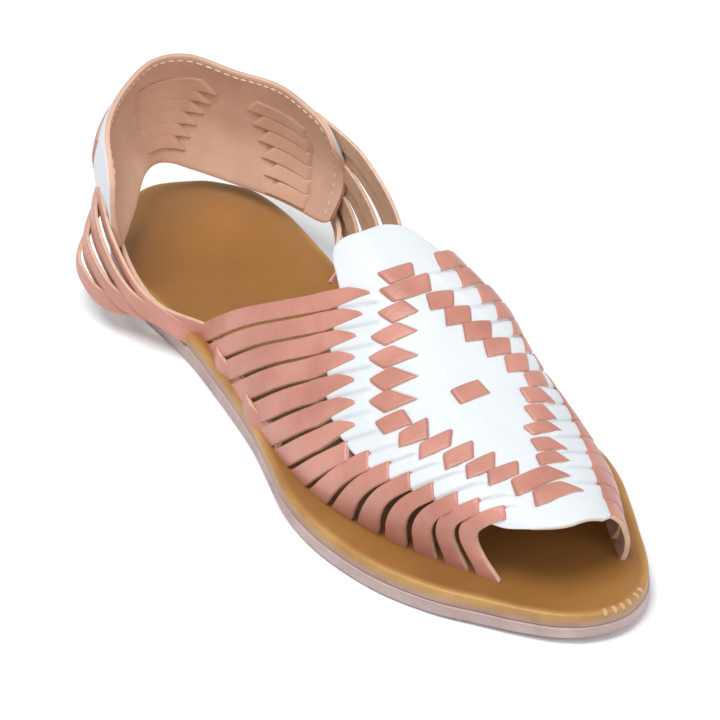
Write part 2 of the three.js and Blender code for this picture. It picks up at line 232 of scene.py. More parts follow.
def leather(name, dark, light, cut, flesh, roughness):
    material, tree, shader = new_material(name)
    shader.inputs["Specular IOR Level"].default_value = 0.5
    place = object_place(tree)
    grain_colour = ramp(tree, noise(tree, place, CLOUDS_PER_METRE, 4, 0.6), [(0.3, dark), (0.7, light)])
    fibres = noise(tree, place, FIBRES_PER_METRE, 3)
    cut_colour = ramp(tree, fibres, [(0.3, shade(cut, 0.78)), (0.7, cut)])
    flesh_colour = ramp(tree, fibres, [(0.3, shade(flesh, 0.82)), (0.7, flesh)])
    # Painted shade: a darker copy of the grain colour, for creases, slits and gaps between thongs
    painted_shade_colour = ramp(tree, fibres, [(0.3, shade(dark, 0.55)), (0.7, shade(dark, 0.62))])
    side = read_mark(tree, "side")
    edged = blend_colours(tree, remap(tree, side, 0.15, 0.4), grain_colour, cut_colour)
    whole = blend_colours(tree, remap(tree, side, 0.6, 0.9), edged, flesh_colour)
    # The painted shade is mixed into the colour here
    whole = blend_colours(tree, read_mark(tree, "painted_shade"), whole, painted_shade_colour)
    gloss = remap(tree, noise(tree, place, 160, 3), 0, 1, roughness - 0.07, roughness + 0.1)
    cells = tree.nodes.new("ShaderNodeTexVoronoi")
    cells.inputs["Scale"].default_value = GRAIN_CELLS_PER_METRE
    tree.links.new(place, cells.inputs["Vector"])
    grain = bump(tree, cells.outputs["Distance"], 0.35, GRAIN_DEPTH)
    creased = bump(tree, noise(tree, place, 120, 4), 0.35, CREASE_DEPTH, grain)
    link_chain(
        tree,
        (whole, shader.inputs["Base Color"]),
        (gloss, shader.inputs["Roughness"]),
        (creased, shader.inputs["Normal"]),
    )
    return material


# %% Leathers of the sandal
# Colours in order: dark grain, light grain, cut edge, flesh side. The last number is roughness.
thong_leather = leather(
    "thong_leather",
    (0.45, 0.176, 0.128), (0.62, 0.28, 0.215), (0.78, 0.53, 0.37), (0.62, 0.40, 0.28), 0.36,
)
white_leather = leather(
    "white_leather",
    (0.665, 0.695, 0.72), (0.72, 0.745, 0.765), (0.76, 0.66, 0.58), (0.66, 0.5, 0.38), 0.5,
)
lining_leather = leather(
    "lining_leather",
    (0.61, 0.37, 0.255), (0.76, 0.49, 0.36), (0.74, 0.52, 0.37), (0.62, 0.375, 0.255), 0.6,
)
thong_flesh = leather(
    "thong_flesh",
    (0.62, 0.37, 0.25), (0.76, 0.48, 0.345), (0.74, 0.52, 0.37), (0.64, 0.40, 0.28), 0.55,
)

# %% [markdown]
# ## The shape of the vamp
# The vamp is read as rows across the foot, one for each thong, from 0 at the throat to 15 at the
# toe. Each row is a curve from a crest point over the instep to a base on the footbed at either
# side. A place on the vamp is then (row, distance across from the crest), with the lateral side
# negative. The whole face is worked out once on a fine grid, and pieces look their points up in it.

# %% Vamp sections
FOOTBED_TOP = 9.0
SECTION_COLUMNS = [
    "row", "crestX", "crestY", "crestZ",
    "latX", "latY", "latReach", "latSwell", "latRise", "latBack",
    "medX", "medY", "medReach", "medSwell", "medRise", "medBack",
]
SECTIONS = [
    [0, 7, -12, 56, -21, 58, 18, 2, 22, -23, 24.5, 33, 40, 8, 25, -25],
    [3, 7, -33, 50, -27.5, 28, 19, 2, 20, -22, 26, 4, 40, 9, 24, -27],
    [6, 3.5, -51, 44, -34, -6, 23, 2, 15, -17, 30.5, -19, 34, 7, 23, -23],
    [9, 0.5, -69, 39, -36.5, -38, 25, 2, 14, -11, 35, -45, 27, 5, 17, -20],
    [12, 0, -87, 36, -29.5, -67, 21, 3, 16, -4, 31.5, -77, 19, 5, 14, -13],
    [15, 0.5, -106, 33, -17, -94, 13, 4, 20, 6, 20.5, -105, 12, 4, 13, -3],
]
ROW_STEP = 0.05
ACROSS_STEP = 0.5
grid_rows = np.arange(-2.9, 16.7, ROW_STEP)
grid_across = np.arange(-95, 95.01, ACROSS_STEP)


def section_side(row, sign, prefix):
    value = {name: float(read(SECTIONS, SECTION_COLUMNS, name, row)) for name in SECTION_COLUMNS[1:]}
    crest = np.array([value["crestX"], value["crestY"], value["crestZ"]])
    base = np.array([value[prefix + "X"], value[prefix + "Y"], FOOTBED_TOP])
    shoulder = crest + [sign * value[prefix + "Reach"], 0, 0]
    flank = base + [sign * value[prefix + "Swell"], value[prefix + "Back"], value[prefix + "Rise"]]
    t = np.linspace(0, 1, 160)[:, None]
    line = (1 - t) ** 3 * crest + 3 * (1 - t) ** 2 * t * shoulder
    line = line + 3 * (1 - t) * t * t * flank + t**3 * base
    run = np.concatenate([[0], np.cumsum(np.linalg.norm(np.diff(line, axis=0), axis=1))])
    onward = (line[-1] - line[-2]) / np.linalg.norm(line[-1] - line[-2])
    return line, run, onward


def section_line(row):
    distance = np.abs(grid_across)
    points = np.zeros((len(grid_across), 3))
    lengths = []
    for sign, prefix in ((-1, "lat"), (1, "med")):
        line, run, onward = section_side(row, sign, prefix)
        own = grid_across < 0 if sign < 0 else grid_across >= 0
        near = np.minimum(distance[own], run[-1])
        inside = np.stack([np.interp(near, run, line[:, i]) for i in range(3)], -1)
        points[own] = inside + np.maximum(distance[own] - run[-1], 0)[:, None] * onward
        lengths.append(run[-1])
    return points, lengths


made = [section_line(row) for row in grid_rows]
vamp_grid = np.array([points for points, _ in made])
lateral_length, medial_length = np.array([lengths for _, lengths in made]).T
along_row = np.gradient(vamp_grid, axis=0) / ROW_STEP
along_across = np.gradient(vamp_grid, axis=1) / ACROSS_STEP
normal_grid = np.cross(along_row, along_across)
normal_grid /= np.linalg.norm(normal_grid, axis=-1, keepdims=True)
runs = along_across / np.linalg.norm(along_across, axis=-1, keepdims=True)
pitch_grid = np.linalg.norm(along_row - (along_row * runs).sum(-1, keepdims=True) * runs, axis=-1)
print("vamp crest at row 0:", vamp_grid[np.argmin(abs(grid_rows)), np.argmin(abs(grid_across))])


# %% Look a place up on the vamp
def look_up(grid, row, across):
    row, across = np.broadcast_arrays(np.asarray(row, float), np.asarray(across, float))
    i = np.clip((row - grid_rows[0]) / ROW_STEP, 0, len(grid_rows) - 1.001)
    j = np.clip((across - grid_across[0]) / ACROSS_STEP, 0, len(grid_across) - 1.001)
    a, b = i.astype(int), j.astype(int)
    s, t = i - a, j - b
    if grid.ndim == 3:
        s, t = s[..., None], t[..., None]
    low = grid[a, b] * (1 - t) + grid[a, b + 1] * t
    high = grid[a + 1, b] * (1 - t) + grid[a + 1, b + 1] * t
    return low * (1 - s) + high * s


def on_vamp(row, across, height):
    normal = look_up(normal_grid, row, across)
    normal = normal / np.linalg.norm(normal, axis=-1, keepdims=True)
    return look_up(vamp_grid, row, across) + normal * np.asarray(height, float)[..., None]


def base_distance(row, sign):
    lengths = lateral_length if sign < 0 else medial_length
    return np.interp(row, grid_rows, lengths)


# %% [markdown]
# ## How the thongs drift
# A thong is pulled tight between its slits, so over the field it does not stay on its own row: it
# drifts a part of a row forwards or back. The drift is nothing at the crest, grows along the field
# and is gone again at the footbed.

# %% Drift of the thongs
DRIFT_COLUMNS = ["row", "lateral", "medial"]
DRIFT = [
    [0, -0.2, 0.4], [5, -0.25, 0.5], [7, -0.25, 0.5], [8, -0.25, 0.45], [9, -0.47, 0.35],
    [11, -0.65, 0.25], [13, -0.58, 0.1], [14, -0.8, 0.05], [15, -0.9, 0],
]
DRIFT_REACH = 17  # mm from the crest where the drift is full


def drift(row, across):
    across = np.asarray(across, float)
    lateral = read(DRIFT, DRIFT_COLUMNS, "lateral", row)
    medial = read(DRIFT, DRIFT_COLUMNS, "medial", row)
    grown = ease(np.abs(across) / DRIFT_REACH)
    base = np.where(across < 0, base_distance(row, -1), base_distance(row, 1))
    fading = 1 - ease((np.abs(across) - 0.62 * base) / (0.38 * base))
    return np.where(across < 0, lateral, medial) * grown * fading


# %% [markdown]
# ## Chart of the weave
# Where a thong shows on top of the white plug it is a short stretch between two slits. The
# stretches make a diamond round the middle of the vamp. A weaver works from a chart, and this is
# it: for each stretch the four corners, as row and millimetres across, in the order rear left,
# rear right, front right, front left.

# %% Weave chart
STRETCHES = [
    [0, -5.5, 0.05, 5.5, 0.55, 3.5, 0.6, -4.5],
    [0.8, -8.5, 0.75, 7.8, 1.5, 4.7, 1.45, -7.3],
    [1.9, -13.5, 1.6, -4.5, 2.2, -3, 2.45, -11.5],
    [3, -20, 2.55, -10, 3.1, -6.5, 3.45, -17],
    [3.95, -23.5, 3.6, -15, 4.3, -9.5, 4.5, -20],
    [4.95, -25.5, 4.6, -17.5, 5.3, -12, 5.55, -22.5],
    [5.9, -28, 5.6, -21, 6.4, -15, 6.55, -25],
    [6.95, -29, 6.75, -20, 7.5, -19.5, 7.55, -28],
    [7.85, -24, 7.55, -15, 8.5, -17.5, 8.45, -26],
    [8.75, -20.5, 8.55, -10.5, 9.3, -13.5, 9.45, -23],
    [9.7, -16.5, 9.55, -7.5, 10.4, -10.5, 10.55, -19],
    [10.75, -13.5, 10.6, -4.5, 11.45, -8, 11.5, -16],
    [11.55, -10, 11.6, -1, 12.2, -3.5, 12.3, -12.5],
    [12.45, -6.5, 12.4, 5.5, 13.1, 10, 13.35, -8.5],
    [13.45, -4, 13.45, 5, 14.05, 10, 14.25, -6.5],
    [1.65, 2.5, 1.95, 10.5, 2.6, 7, 2.35, 0.5],
    [2.6, 4.5, 2.9, 12, 3.6, 9.5, 3.35, 2],
    [3.6, 7, 3.95, 16, 4.75, 13.5, 4.45, 5.5],
    [4.75, 11, 5.1, 20, 5.8, 18, 5.6, 10],
    [5.9, 15.5, 6.15, 24.5, 6.95, 21.5, 6.7, 14],
    [7.05, 19.5, 7.2, 28, 7.85, 27.5, 7.75, 19],
    [7.75, 15, 8.05, 22.5, 8.8, 25.5, 8.55, 15.5],
    [8.75, 13, 8.9, 19.5, 9.7, 21, 9.6, 13.5],
    [9.8, 8.5, 9.85, 17, 10.4, 19.5, 10.35, 9.5],
    [10.65, 7.5, 10.8, 13, 11.55, 16, 11.35, 7],
    [11.65, 5, 11.6, 11, 12.25, 13.5, 12.2, 4],
    [6.65, -5.5, 6.65, 3.5, 7.4, 5, 7.4, -4.5],
]

# Where each thong leaves its outermost slit, in mm from the crest
LAST_SLIT_COLUMNS = ["row", "lateral", "medial"]
LAST_SLIT = [
    [0, 11, 12.9], [1, 11.3, 15], [2, 17.7, 17.2], [3, 23.7, 19.3], [4, 27.2, 22.9], [5, 30, 25.5],
    [6, 32.2, 29.5], [7, 35, 33.5], [8, 40.6, 32], [9, 35.3, 29.5], [10, 31.5, 27], [11, 28.2, 24],
    [12, 24.8, 21], [13, 21.3, 18], [14, 18, 16], [15, 14.2, 14],
]
POINTED_ROWS = 7  # up to this row a thong ends in a point, past it the slit is straight
print(len(STRETCHES), "stretches on the plug")


# %% Stretches and thongs as plates
ACROSS_THE_THONG = np.array([-1, -0.985, -0.93, -0.8, -0.4, 0, 0.4, 0.8, 0.93, 0.985, 1])
EDGE_FALL = np.array([0.36, 0.13, 0.03, 0, -0.03, -0.04, -0.03, 0, 0.03, 0.13, 0.36])
BOTTOM_ACROSS = ACROSS_THE_THONG * 0.95
THONG_THICKNESS = 1.6


def with_painted_shade(part, along, edge_shade=0.0):
    """Paint shade on a plate's top by a share for each place along it, and by a share at its long edges."""
    near_edge = np.clip((np.abs(ACROSS_THE_THONG) - 0.8) / 0.2, 0, 1) * edge_shade
    top = np.maximum(np.asarray(along, float)[:, None], near_edge)
    part["painted_shade"] = np.concatenate([top.reshape(-1), top.reshape(-1)])
    return part


def thong_plate(rear, front, across, height):
    """rear and front give the rows of the thong's two edges, for each place along it."""
    top_row = rear[:, None] + (front - rear)[:, None] * (ACROSS_THE_THONG + 1) / 2
    bottom_row = rear[:, None] + (front - rear)[:, None] * (BOTTOM_ACROSS + 1) / 2
    top = on_vamp(top_row, across, height[:, None] - EDGE_FALL)
    bottom = on_vamp(bottom_row, across, height[:, None] - THONG_THICKNESS)
    return plate(top, bottom, cut_columns=1)


# A stretch is a little larger than its slits show, so that its ends dive under the plug's face
STRETCH_MARGIN = [-0.05, -0.5, -0.05, 0.5, 0.05, 0.5, 0.05, -0.5]
STRETCH_CROWN = 0.6
STRETCH_DIVE = 0.9


def stretch_plate(corners):
    r0, w0, r1, w1, r2, w2, r3, w3 = np.array(corners) + STRETCH_MARGIN
    near = np.array([0, 0.03, 0.07, 0.13, 0.2])
    u = np.concatenate([near, np.linspace(0.3, 0.7, 7), (1 - near)[::-1]])
    t = (ACROSS_THE_THONG + 1) / 2
    across = (w0 + (w1 - w0) * u)[:, None] * (1 - t) + (w3 + (w2 - w3) * u)[:, None] * t
    bow = -0.05 * 4 * u * (1 - u)
    rear, front = r0 + (r1 - r0) * u + bow, r3 + (r2 - r3) * u + 0.4 * bow
    end = 1 - ease(np.minimum(u, 1 - u) / 0.1)
    height = STRETCH_CROWN - STRETCH_DIVE * end**1.5
    # Painted shade where the stretch's ends dive into their slits
    return with_painted_shade(thong_plate(rear, front, across, height), 0.5 * end)


# %% [markdown]
# ## The white plug
# The plug is one piece of white leather 1.7 mm thick: a rounded tongue, the woven field and the
# curved front edge. It is a plate on a fine grid. Its face sinks a little under each stretch of
# thong and swells where a thong passes beneath, which is what gives a weave its life.

# %% White plug
PLUG_THICKNESS = 1.7
PLUG_SWELL = 0.4
PLUG_FURROW = 0.35
PLUG_SINK = 0.7
FIELD_COLUMNS = ["row", "lateral", "medial"]
FIELD = [
    [-2.3, 4, 4], [-2.15, 8, 8], [-1.8, 12, 12.5], [-1.2, 15, 15.5], [-0.3, 17.5, 18], [0.6, 20.5, 20],
    [1.5, 26, 23], [2.5, 31.5, 27], [4, 38, 32], [5, 41, 35], [6.2, 42, 37], [7.2, 41, 37.5],
    [9, 37, 34.5], [11, 30.5, 28.5], [13, 25, 23.5], [14.8, 20.5, 18.5], [15.3, 18, 15], [15.7, 13, 9.5],
]
# Where the ring of stretches ends and the long runs pass beneath
RING_COLUMNS = ["row", "lateral", "medial"]
RING = [
    [0, 6, 6], [1, 9, 8], [2, 13, 10], [4, 22, 15],
    [7, 29, 28], [9, 22, 20], [12, 11.5, 12], [14, 7, 9],
]


def sunk_share(corners, row, across, margin=0.0):
    """1 inside a stretch grown by the margin in mm, 0 outside, with a soft border."""
    r0, w0, r1, w1, r2, w2, r3, w3 = corners
    t = np.full(np.shape(row), 0.5)
    for _ in range(3):
        left, right = w0 + (w3 - w0) * t, w1 + (w2 - w1) * t
        u = (across - left) / (right - left)
        within = np.clip(u, 0, 1)
        rear, front = r0 + (r1 - r0) * within, r3 + (r2 - r3) * within
        t = np.clip((row - rear) / (front - rear), -0.5, 1.5)
    length = abs(w1 - w0)
    inside_u = (np.minimum(u, 1 - u) * length + margin) / 0.9 + 0.5
    inside_t = (np.minimum(t, 1 - t) + margin / 6) / 0.12 + 0.5
    return ease(inside_u) * ease(inside_t)


plug_rows = np.concatenate([[-2.3, -2.28, -2.24], np.arange(-2.18, 15.6, 0.07), [15.62, 15.67, 15.7]])
plug_share = np.linspace(0, 1, 111)
plug_share = np.concatenate([[0.0, 0.002, 0.005], plug_share[1:-1], [0.995, 0.998, 1.0]])
lateral_half = read(FIELD, FIELD_COLUMNS, "lateral", plug_rows)
medial_half = read(FIELD, FIELD_COLUMNS, "medial", plug_rows)
plug_across = -lateral_half[:, None] + (lateral_half + medial_half)[:, None] * plug_share
plug_row = np.repeat(plug_rows[:, None], len(plug_share), 1)
sunk, beside = np.zeros(plug_row.shape), np.zeros(plug_row.shape)
for corners in STRETCHES:
    sunk = np.maximum(sunk, sunk_share(corners, plug_row, plug_across))
    beside = np.maximum(beside, sunk_share(corners, plug_row, plug_across, 0.7))
own_row = plug_row - drift(plug_row, plug_across)
beat = np.abs(own_row - np.round(own_row)) * 2
inner = np.where(
    plug_across < 0,
    read(RING, RING_COLUMNS, "lateral", plug_row),
    read(RING, RING_COLUMNS, "medial", plug_row),
)
outside_ring = ease((np.abs(plug_across) - inner + 1) / 3) * ease((plug_row - 0.4) / 0.5)
outside_ring *= ease((14.4 - plug_row) / 0.8)
furrow = outside_ring * ease((beat - 0.7) / 0.3)
swell = PLUG_SWELL * outside_ring * (1 - beat**4) - PLUG_FURROW * furrow
edge_gap = np.minimum(plug_across + lateral_half[:, None], medial_half[:, None] - plug_across)
edge_gap = np.minimum(edge_gap, 6 * np.minimum(plug_row - plug_rows[0], plug_rows[-1] - plug_row))
rounding = 0.5 * np.clip(1 - edge_gap / 0.8, 0, 1) ** 2
plug_top = on_vamp(plug_row, plug_across, swell * (1 - sunk) - PLUG_SINK * sunk - rounding)
plug_bottom = on_vamp(plug_row, plug_across, -PLUG_THICKNESS + 0.5 * rounding - 0.5 * sunk)
plug_plate = plate(plug_top, plug_bottom)
plug_side = plug_plate["side"].reshape(2, len(plug_rows), len(plug_share))
plug_side[0][edge_gap < 0.02] = 0.5
# Painted shade on the plug's face: in the furrows, and in a ring round each stretch of thong
painted_shade = np.zeros((2, len(plug_rows), len(plug_share)))
painted_shade[0] = np.maximum(0.3 * furrow * (1 - sunk), 0.6 * np.clip(beside - 0.5, 0, 0.5))
plug_plate["painted_shade"] = painted_shade.reshape(-1)
make_piece("white_plug", [plug_plate], [white_leather], ["upper"])

# %% [markdown]
# ## Thongs of the vamp
# Sixteen rows of thongs cross the vamp. All but the last show as short stretches on the plug, and
# each has a long run a side from its last slit down into the footbed, but for the rearmost, which
# has none on the lateral side. The rear lateral runs are pointed at the slit, all others square.


# %% Long runs of the vamp thongs
WIDEST_RUN = 7
RUN_LIFT = 0.75
POINT_BLUNTNESS = 0.004
SLIT_SLANT = {"lateral": 3.3, "medial": -2.4}
INTO_FOOTBED = 3


def long_run(row, sign):
    side = "lateral" if sign < 0 else "medial"
    slit = float(read(LAST_SLIT, LAST_SLIT_COLUMNS, side, row))
    field = float(read(FIELD, FIELD_COLUMNS, side, row))
    end = float(base_distance(row, sign)) + INTO_FOOTBED
    pointed = row <= POINTED_ROWS and sign < 0
    slit -= 0.6 if pointed else 0.0
    near_slit = [0, 0.15, 0.4, 0.8, 1.3, 2, 3, 4, 5, 6, 7.5, 9, 10.5, 12]
    s = np.concatenate([near_slit, np.linspace(13.5, end - slit, 22)])
    distance = slit + s
    centre = row + drift(row, sign * distance)
    pitch = look_up(pitch_grid, centre, sign * distance)
    half = np.minimum(0.46 - 0.04 * ease((distance - field) / 12), WIDEST_RUN / 2 / pitch)
    if pointed:
        rear = -half * np.clip(s / 5, 0, 1) ** 0.6 - POINT_BLUNTNESS
        front = half * np.clip(s / 16, 0, 1) ** 0.95 + POINT_BLUNTNESS
        slant = 0.0
    else:
        rear, front = -half, half
        slant = SLIT_SLANT[side]
    height = RUN_LIFT - (1 - ease(s)) - 0.6 * ease((distance - field - 1) / 5)
    t = (ACROSS_THE_THONG + 1) / 2
    fade = (1 - ease(s / 12))[:, None]
    across = sign * (distance[:, None] - slant * (0.5 - t) * fade)
    part = thong_plate(centre + rear, centre + front, across, height)
    # Painted shade where the run comes out of its slit
    return with_painted_shade(part, 0.5 * (1 - ease(s / 0.9)))


vamp_plates = [stretch_plate(corners) for corners in STRETCHES]
vamp_plates += [long_run(row, -1) for row in range(1, 16)]
vamp_plates += [long_run(row, 1) for row in range(0, 16)]
make_piece("vamp_thongs", vamp_plates, [thong_leather], ["upper"])

# %% [markdown]
# ## Side thongs and the edge thong
# Six thongs a side run from the heel counter down to the waist. They follow a free curve in the
# air, not the vamp, so each is a ribbon along a smooth path whose flat face turns from facing
# sideways at the heel to facing up and out at the sole.


# %% Ribbon along a path
def chord_knots(points):
    return np.concatenate([[0], np.cumsum(np.sqrt(np.linalg.norm(np.diff(points, axis=0), axis=1)))])


def curve_through(padded, knots, at):
    """A curve through all the points but the first and last, which only steer its ends."""
    slopes = (padded[2:] - padded[:-2]) / (knots[2:] - knots[:-2])[:, None]
    points, knots = padded[1:-1], knots[1:-1]
    i = np.clip(np.searchsorted(knots, at) - 1, 0, len(knots) - 2)
    span = (knots[i + 1] - knots[i])[:, None]
    t = (at[:, None] - knots[i][:, None]) / span
    curve = (2 * t**3 - 3 * t**2 + 1) * points[i] + (t**3 - 2 * t**2 + t) * span * slopes[i]
    return curve + (3 * t**2 - 2 * t**3) * points[i + 1] + (t**3 - t**2) * span * slopes[i + 1]


def smooth_path(points, steps):
    points = np.array(points, float)
    knots = chord_knots(points)
    padded = np.vstack([2 * points[0] - points[1], points, 2 * points[-1] - points[-2]])
    spread = np.concatenate([[-knots[1]], knots, [2 * knots[-1] - knots[-2]]])
    return curve_through(padded, spread, np.linspace(0, knots[-1], steps))


def ribbon(path, first_normal, last_normal, width, thickness=THONG_THICKNESS, lift=None, lean=None):
    tangent = np.gradient(path, axis=0)
    tangent /= np.linalg.norm(tangent, axis=1, keepdims=True)
    t = np.linspace(0, 1, len(path))[:, None] ** 2
    normal = np.array(first_normal, float) * (1 - t) + np.array(last_normal, float) * t
    normal -= (normal * tangent).sum(1, keepdims=True) * tangent
    normal /= np.linalg.norm(normal, axis=1, keepdims=True)
    across = np.cross(normal, tangent)
    if lean is not None:
        turn, tip = np.cos(lean)[:, None], np.sin(lean)[:, None]
        across, normal = across * turn + normal * tip, normal * turn - across * tip
    if lift is not None:
        path = path + normal * lift[:, None]
    path, across, normal = path[:, None], across[:, None], normal[:, None]
    top = path + across * (ACROSS_THE_THONG * width / 2)[:, None]
    top = top + normal * (thickness / 2 - EDGE_FALL)[:, None]
    bottom = path + across * (BOTTOM_ACROSS * width / 2)[:, None] - normal * thickness / 2
    return plate(top, bottom, cut_columns=1)


# %% Side thongs
SIDE_THONGS = 6
SIDE_THONG_WIDTH = 5.8
SIDE_THONG_THICKNESS = 1.2
SIDE_STEPS = 56
# The top and the lowest thong of each side, from the counter down to the waist, as x, y, z
LATERAL_TOP = [
    [-31.5, 91, 46.5], [-34.4, 86.5, 41.5], [-36.7, 77, 32],
    [-35.5, 64, 20], [-30, 54, 12.5], [-25, 49, 8.5],
]
LATERAL_LOWEST = [
    [-21, 103, 31], [-36.5, 96, 17], [-39.5, 86, 13],
    [-38, 76, 11], [-31.5, 66, 11.5], [-25, 58, 8.5],
]
MEDIAL_TOP = [
    [34.9, 79, 50.5], [36.5, 72, 50], [38.5, 52, 46],
    [38, 33, 33], [31, 24, 14], [25, 21, 8.5],
]
MEDIAL_LOWEST = [
    [34.9, 79, 27], [37, 72, 27], [37, 63, 21],
    [35, 57, 15], [30.5, 51, 12], [25, 48, 8.5],
]


def side_thong(top, lowest, number, sign):
    share = number / (SIDE_THONGS - 1)
    points = np.array(top, float) * (1 - share) + np.array(lowest, float) * share
    path = smooth_path(points, SIDE_STEPS)
    lean = np.radians(np.linspace(4, 24 if sign < 0 else 12, SIDE_STEPS))
    swing = np.sin(np.pi * np.linspace(0, 1, SIDE_STEPS)) * (0.8 if number % 2 else -0.5)
    first, last = (sign, 0.2, 0.1), (0.7 * sign, 0, 0.75)
    return ribbon(path, first, last, SIDE_THONG_WIDTH, SIDE_THONG_THICKNESS, swing, -sign * lean)


side_plates = [side_thong(LATERAL_TOP, LATERAL_LOWEST, number, -1) for number in range(SIDE_THONGS)]
side_plates += [side_thong(MEDIAL_TOP, MEDIAL_LOWEST, number, 1) for number in range(SIDE_THONGS)]
make_piece("side_thongs", side_plates, [thong_leather], ["upper"])


# %% Edge thong, laced over and under the rear runs
EDGE_THONG_WIDTH = 5
EDGE_STEPS = 120
EDGE_START_LIFTS = [0.0, 0.5, 1.0, 1.6]


def edge_thong(start, sign):
    rows = np.arange(1.0 if sign < 0 else 0.0, 6.6, 0.5)
    points, lifts = [np.array(point, float) for point in start], list(EDGE_START_LIFTS[: len(start)])
    for row in rows:
        across = sign * (base_distance(row, sign) - 3.2)
        points.append(look_up(vamp_grid, row, across))
        over = math.cos(math.pi * (row - 1))
        lifts.append(-0.7 + 1.75 * over)
    path = smooth_path(points, EDGE_STEPS)
    spread = np.linspace(0, 1, len(points))
    lift = np.interp(np.linspace(0, 1, EDGE_STEPS), spread, lifts)
    lift = np.convolve(np.pad(lift, 4, mode="edge"), np.ones(9) / 9, "valid")
    return ribbon(path, (sign, 0, 0.2), (sign, 0, 0.2), EDGE_THONG_WIDTH, lift=lift)


LATERAL_EDGE_START = [[-29.5, 90, 31], [-31.5, 77, 22.5], [-31.5, 66, 17.5], [-30, 57, 14.5]]
MEDIAL_EDGE_START = [[35.5, 72, 27], [34.5, 64, 20], [32, 55, 14.5]]
edge_plates = [edge_thong(LATERAL_EDGE_START, -1), edge_thong(MEDIAL_EDGE_START, 1)]
make_piece("edge_thongs", edge_plates, [thong_leather], ["upper"])

# %% [markdown]
# ## Heel counter
# The counter is a tall band that floats round the heel: white leather outside and natural lining
# inside, sewn together along the top. It is read from a table of stations round the heel. Its
# narrow front ends have round corners. The thongs go in and out of it in four groups, dipping
# through its surface, and shade is painted on the leather between the thongs of a group.

# %% Counter shape
COUNTER_THICKNESS = 2.4
COUNTER_BULGE = 4.5
COUNTER_CORNER = 9
COUNTER_DEPTH = 36  # about, from the low edge to the high one
COUNTER_COLUMNS = ["station", "x", "y", "low", "high", "tuck"]
COUNTER = [
    [-4, -35, 77, 26, 56, 1],
    [-3, -30, 88, 25.5, 60, 4],
    [-2, -22, 99, 27, 61, 5.5],
    [-1, -10, 110, 29.5, 61, 4],
    [0, 3, 117, 25.5, 61.5, 2],
    [1, 15, 116, 19.5, 60, 1.5],
    [2, 25, 105, 16, 56.5, 1],
    [3, 31, 86, 17.5, 58, 1],
    [4, 33, 61, 20.5, 55, 1],
]


def on_counter(station, share, offset):
    station, share = np.broadcast_arrays(np.asarray(station, float), np.asarray(share, float))
    column = lambda name, at: read(COUNTER, COUNTER_COLUMNS, name, at)
    dx = column("x", station + 0.05) - column("x", station - 0.05)
    dy = column("y", station + 0.05) - column("y", station - 0.05)
    length = np.hypot(dx, dy)
    corner = np.clip(COUNTER_CORNER - (4 - np.abs(station)) * length / 0.1, 0, COUNTER_CORNER)
    cut = COUNTER_CORNER - np.sqrt(COUNTER_CORNER**2 - corner**2)
    low = column("low", station) + 0.4 * cut
    high = column("high", station) - 0.8 * cut
    flattened = 1 - 0.9 * ease((-station - 2.6) / 1.4)
    belly = COUNTER_BULGE * flattened * np.sin(np.pi * share)
    out = belly - column("tuck", station) * (1 - share) ** 2 + offset
    x = column("x", station) - dy / length * out
    y = column("y", station) + dx / length * out
    return np.stack([x, y, low + (high - low) * share], -1)


# %% Groups of thongs on the counter, and the shade painted between them
# First and last thong of each group: station it starts and ends at, then the height share there
INSIDE_MEDIAL = [[2.2, 3.35, 0.71, 0.66], [2.75, 3.5, 0.09, 0.1]]
INSIDE_LATERAL = [[1.5, -0.5, 0.74, 0.66], [0.75, -0.5, 0.2, 0.17]]
OUTSIDE_BACK = [[1.5, 2.2, 0.74, 0.71], [0.75, 2.75, 0.2, 0.09]]
OUTSIDE_LATERAL = [[-0.5, -2.7, 0.72, 0.8], [-0.5, -2.3, 0.17, 0.14]]


def shade_between(group, station, share):
    (top_start, top_stop, top_low, top_high), (start, stop, low, high) = group
    down = np.clip((share - top_low) / (low - top_low), 0, 1)
    first, last = top_start + (start - top_start) * down, top_stop + (stop - top_stop) * down
    along = (station - first) / (last - first)
    middle_top, middle_low = top_low + (top_high - top_low) * along, low + (high - low) * along
    inside = ease((along - 0.02) / 0.04) * ease((0.98 - along) / 0.04)
    return inside * ease((middle_top - share) / 0.04) * ease((share - middle_low) / 0.04)


# %% Counter band
ends = np.array([0, 0.004, 0.015, 0.035, 0.065, 0.1, 0.14, 0.19, 0.25, 0.32])
counter_stations = np.concatenate([-4 + ends, np.arange(-3.6, 3.65, 0.08), (4 - ends)[::-1]])
rim = np.array([0, 0.004, 0.012, 0.025, 0.045])
counter_shares = np.concatenate([rim, np.linspace(0.07, 0.93, 28), (1 - rim)[::-1]])
station_grid, share_grid = np.meshgrid(counter_stations, counter_shares, indexing="ij")
from_rim = np.minimum(share_grid, 1 - share_grid) * COUNTER_DEPTH
from_end = (4 - np.abs(station_grid)) * 18
thin = COUNTER_THICKNESS / 2 - 0.45 * np.clip(1 - np.minimum(from_rim, from_end) / 1.3, 0, 1) ** 2
counter_out = on_counter(station_grid, share_grid, thin)
counter_in = on_counter(station_grid, share_grid, -thin)
counter_plate = plate(counter_out, counter_in, top_side=0, bottom_side=0)
# Painted shade between the thongs of each group: light on the white outside, deep on the lining
painted_counter_shade = []
for depth, groups in ((0.35, (OUTSIDE_BACK, OUTSIDE_LATERAL)), (0.75, (INSIDE_MEDIAL, INSIDE_LATERAL))):
    painted_counter_shade.append(depth * np.maximum(*(shade_between(group, station_grid, share_grid) for group in groups)))
counter_plate["painted_shade"] = np.concatenate([part.reshape(-1) for part in painted_counter_shade])
counter = make_piece(
    "heel_counter_band", [counter_plate], [white_leather, lining_leather], ["heel_counter"]
)
outer_faces = (len(counter_stations) - 1) * (len(counter_shares) - 1)
shades = np.zeros(len(counter.data.polygons), int)
shades[outer_faces:] = 1
counter.data.polygons.foreach_set("material_index", shades)

